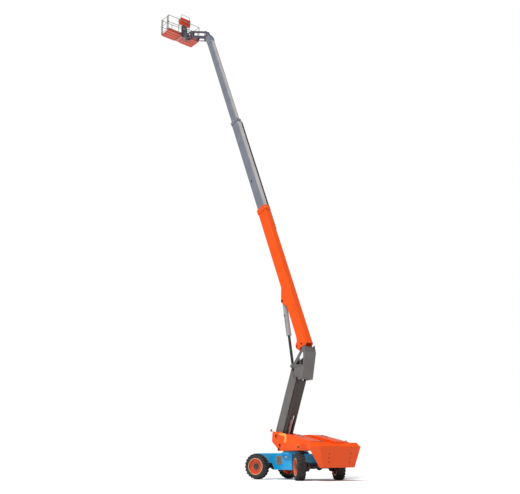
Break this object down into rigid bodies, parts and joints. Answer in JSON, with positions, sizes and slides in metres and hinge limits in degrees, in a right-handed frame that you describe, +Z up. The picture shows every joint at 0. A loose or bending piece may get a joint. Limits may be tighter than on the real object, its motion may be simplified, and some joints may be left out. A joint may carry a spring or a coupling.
{
  "type": "articulated boom lift",
  "caption": "Self-propelled articulated boom lift with a folding riser, a telescopic boom, a jib and a railed work platform.",
  "frame": {"origin": "centre of the machine's footprint box on the floor, with the boom raised as stored", "axes": "+X forward along the boom's reach, +Y to the machine's left, +Z up"},
  "size_m": [14.521, 3.027, 29.5323],
  "materials": {
    "frame_blue": "gloss blue paint",
    "axle_grey": "dark painted casting",
    "ring_steel": "machined steel",
    "tyre_rubber": "moulded rubber",
    "rim_orange": "gloss orange paint",
    "body_orange": "gloss orange paint",
    "weight_orange": "orange painted casting",
    "boom_grey": "satin grey paint",
    "riser_grey": "satin grey paint",
    "dark_grey": "dark satin paint",
    "cylinder_grey": "light grey paint",
    "rod_chrome": "hard chrome",
    "engine_dark": "dark engine paint",
    "tank_plastic": "rotomoulded plastic",
    "lens_amber": "amber lens",
    "chain_plastic": "black nylon",
    "jib_dark": "dark satin paint",
    "basket_red": "red-orange paint",
    "rail_grey": "bare tube",
    "console_orange": "orange plastic"
  },
  "bodies": {
    "chassis": {"chassis_frame": "frame_blue", "front_axle": "axle_grey", "rear_axle": "axle_grey", "slew_ring": "ring_steel", "tie_down_lugs": "frame_blue"},
    "turntable": {"turntable_frame": "body_orange", "counterweight": "weight_orange", "hood_left": "body_orange", "hood_right": "body_orange", "engine_block": "engine_dark", "fluid_tank": "tank_plastic", "beacon": "lens_amber"},
    "left_door": {"door_left": "body_orange"},
    "right_door": {"door_right": "body_orange"},
    "front_left_knuckle": {"knuckle_front_left": "axle_grey"},
    "front_left_wheel": {"rim_front_left": "rim_orange", "tyre_front_left": "tyre_rubber"},
    "front_right_knuckle": {"knuckle_front_right": "axle_grey"},
    "front_right_wheel": {"rim_front_right": "rim_orange", "tyre_front_right": "tyre_rubber"},
    "rear_left_knuckle": {"knuckle_rear_left": "axle_grey"},
    "rear_left_wheel": {"rim_rear_left": "rim_orange", "tyre_rear_left": "tyre_rubber"},
    "rear_right_knuckle": {"knuckle_rear_right": "axle_grey"},
    "rear_right_wheel": {"rim_rear_right": "rim_orange", "tyre_rear_right": "tyre_rubber"},
    "front_link": {"riser_front_link": "riser_grey"},
    "rear_link": {"riser_rear_link": "dark_grey"},
    "riser_barrel": {"riser_cylinder_barrel": "cylinder_grey"},
    "riser_rod": {"riser_cylinder_rod": "rod_chrome"},
    "upright": {"upright": "riser_grey"},
    "boom_base": {"boom_base": "body_orange"},
    "boom_mid": {"boom_mid": "boom_grey", "energy_chain": "chain_plastic"},
    "boom_tip": {"boom_tip": "boom_grey"},
    "lift_rod": {"lift_cylinder_rod": "rod_chrome"},
    "lift_barrel": {"lift_cylinder_barrel": "cylinder_grey"},
    "jib_base": {"jib_base": "jib_dark"},
    "jib_lower": {"jib_lower_arm": "jib_dark"},
    "jib_upper": {"jib_upper_arm": "jib_dark"},
    "jib_barrel": {"jib_cylinder_barrel": "cylinder_grey"},
    "jib_rod": {"jib_cylinder_rod": "rod_chrome"},
    "jib_head": {"jib_head": "jib_dark"},
    "rotator": {"platform_rotator": "jib_dark", "platform_rails": "rail_grey", "platform_floor": "basket_red", "control_console": "console_orange"},
    "gate": {"platform_gate": "rail_grey"}
  },
  "joints": [
    {"name": "slew", "type": "hinge", "parent": "chassis", "child": "turntable", "pos_m": [-4.31195, 0, 1.2], "axis": [0, 0, 1], "continuous": true},
    {"name": "left_door_lift", "type": "hinge", "parent": "turntable", "child": "left_door", "pos_m": [-6.44195, 1.15, 1.57], "axis": [0.9765, 0, 0.2153], "range_deg": [0, 75]},
    {"name": "right_door_lift", "type": "hinge", "parent": "turntable", "child": "right_door", "pos_m": [-6.44195, -1.15, 1.57], "axis": [-0.9765, 0, -0.2153], "range_deg": [0, 75]},
    {"name": "steer_front_left", "type": "hinge", "parent": "chassis", "child": "front_left_knuckle", "pos_m": [-2.73995, 0.83, 0.575], "axis": [0, 0, 1], "range_deg": [-54.3, 9.7]},
    {"name": "roll_front_left", "type": "hinge", "parent": "front_left_knuckle", "child": "front_left_wheel", "pos_m": [-2.8405, 1.07518, 0.575], "axis": [-0.3795, 0.9252, 0], "continuous": true},
    {"name": "steer_front_right", "type": "hinge", "parent": "chassis", "child": "front_right_knuckle", "pos_m": [-2.73995, -0.83, 0.575], "axis": [0, 0, 1], "range_deg": [-54.3, 9.7]},
    {"name": "roll_front_right", "type": "hinge", "parent": "front_right_knuckle", "child": "front_right_wheel", "pos_m": [-2.63939, -1.07518, 0.575], "axis": [-0.3795, 0.9252, 0], "continuous": true},
    {"name": "steer_rear_left", "type": "hinge", "parent": "chassis", "child": "rear_left_knuckle", "pos_m": [-5.88395, 0.83, 0.575], "axis": [0, 0, 1], "range_deg": [-3.4, 60.6]},
    {"name": "roll_rear_left", "type": "hinge", "parent": "rear_left_knuckle", "child": "rear_left_wheel", "pos_m": [-5.75709, 1.06266, 0.575], "axis": [0.4787, 0.878, 0], "continuous": true},
    {"name": "steer_rear_right", "type": "hinge", "parent": "chassis", "child": "rear_right_knuckle", "pos_m": [-5.88395, -0.83, 0.575], "axis": [0, 0, 1], "range_deg": [-3.4, 60.6]},
    {"name": "roll_rear_right", "type": "hinge", "parent": "rear_right_knuckle", "child": "rear_right_wheel", "pos_m": [-6.0108, -1.06266, 0.575], "axis": [0.4787, 0.878, 0], "continuous": true},
    {"name": "riser_fold", "type": "hinge", "parent": "turntable", "child": "front_link", "pos_m": [-3.34195, 0, 1.95], "axis": [0, -1, 0], "range_deg": [-3, 65]},
    {"name": "rear_link_fold", "type": "hinge", "parent": "turntable", "child": "rear_link", "pos_m": [-3.61195, 0, 1.53], "axis": [0, -1, 0], "range_deg": [-4, 66]},
    {"name": "upright_level", "type": "hinge", "parent": "front_link", "child": "upright", "pos_m": [-4.5761, 0, 4.92951], "axis": [0, -1, 0], "range_deg": [-66, 4]},
    {"name": "riser_barrel_swing", "type": "hinge", "parent": "turntable", "child": "riser_barrel", "pos_m": [-3.53195, 0, 1.34], "axis": [0, -1, 0], "range_deg": [-3.66, 58.53]},
    {"name": "riser_rod_slide", "type": "slide", "parent": "riser_barrel", "child": "riser_rod", "axis": [-0.3539, 0, 0.9353], "range_m": [-0.65235, 0.04919]},
    {"name": "boom_lift", "type": "hinge", "parent": "upright", "child": "boom_base", "pos_m": [-5.0921, 0, 5.84951], "axis": [0, -1, 0], "range_deg": [-68, 7]},
    {"name": "boom_extend", "type": "slide", "parent": "boom_base", "child": "boom_mid", "axis": [0.3859, 0, 0.9225], "range_m": [-6.2, 0]},
    {"name": "boom_tip_extend", "type": "slide", "parent": "boom_mid", "child": "boom_tip", "axis": [0.3859, 0, 0.9225], "range_m": [-6.72, 0.01]},
    {"name": "lift_rod_swing", "type": "hinge", "parent": "upright", "child": "lift_rod", "pos_m": [-4.2121, 0, 5.12951], "axis": [0, -1, 0], "range_deg": [-71.89, 8.3]},
    {"name": "lift_barrel_slide", "type": "slide", "parent": "lift_rod", "child": "lift_barrel", "axis": [0.1721, 0, 0.9851], "range_m": [-1.2849, 0.15021]},
    {"name": "jib_base_level", "type": "hinge", "parent": "boom_tip", "child": "jib_base", "pos_m": [3.41314, 0, 26.52917], "axis": [0, -1, 0], "range_deg": [-8, 69]},
    {"name": "jib_lift", "type": "hinge", "parent": "jib_base", "child": "jib_lower", "pos_m": [3.71314, 0, 26.58918], "axis": [0, -1, 0], "range_deg": [-80, 33]},
    {"name": "jib_upper_swing", "type": "hinge", "parent": "jib_base", "child": "jib_upper", "pos_m": [3.67314, 0, 26.92918], "axis": [0, -1, 0], "range_deg": [-81, 34]},
    {"name": "jib_head_level", "type": "hinge", "parent": "jib_lower", "child": "jib_head", "pos_m": [5.31695, 0, 27.40636], "axis": [0, -1, 0], "range_deg": [-34, 81]},
    {"name": "jib_barrel_swing", "type": "hinge", "parent": "jib_base", "child": "jib_barrel", "pos_m": [3.71314, 0, 26.32917], "axis": [0, -1, 0], "range_deg": [-79.4, 33.34]},
    {"name": "jib_rod_slide", "type": "slide", "parent": "jib_barrel", "child": "jib_rod", "axis": [0.8944, 0, 0.4473], "range_m": [-0.35586, 0.15854]},
    {"name": "platform_rotate", "type": "hinge", "parent": "jib_head", "child": "rotator", "pos_m": [5.97795, 0, 27.80636], "axis": [0, 0, 1], "range_deg": [-90, 90]},
    {"name": "gate_swing", "type": "hinge", "parent": "rotator", "child": "gate", "pos_m": [6.55195, 1.2055, 27.97936], "axis": [0, 0, -1], "range_deg": [0, 85]}
  ],
  "couplings": [
    {"joint": "steer_front_right", "follows": "steer_front_left", "ratio": 1},
    {"joint": "steer_rear_right", "follows": "steer_rear_left", "ratio": 1},
    {"joint": "rear_link_fold", "follows": "riser_fold", "ratio": 1},
    {"joint": "upright_level", "follows": "riser_fold", "ratio": -1},
    {"joint": "riser_barrel_swing", "follows": "riser_fold", "ratio": 0.88503},
    {"joint": "riser_rod_slide", "follows": "riser_fold", "m_per_rad": -0.5574},
    {"joint": "boom_tip_extend", "follows": "boom_extend", "ratio": 1.0806},
    {"joint": "lift_rod_swing", "follows": "boom_lift", "ratio": 1.0425},
    {"joint": "lift_barrel_slide", "follows": "boom_lift", "m_per_rad": 1.0658},
    {"joint": "jib_base_level", "follows": "boom_lift", "ratio": -1},
    {"joint": "jib_upper_swing", "follows": "jib_lift", "ratio": 1},
    {"joint": "jib_head_level", "follows": "jib_lift", "ratio": -1},
    {"joint": "jib_barrel_swing", "follows": "jib_lift", "ratio": 0.98},
    {"joint": "jib_rod_slide", "follows": "jib_lift", "m_per_rad": 0.24054}
  ]
}
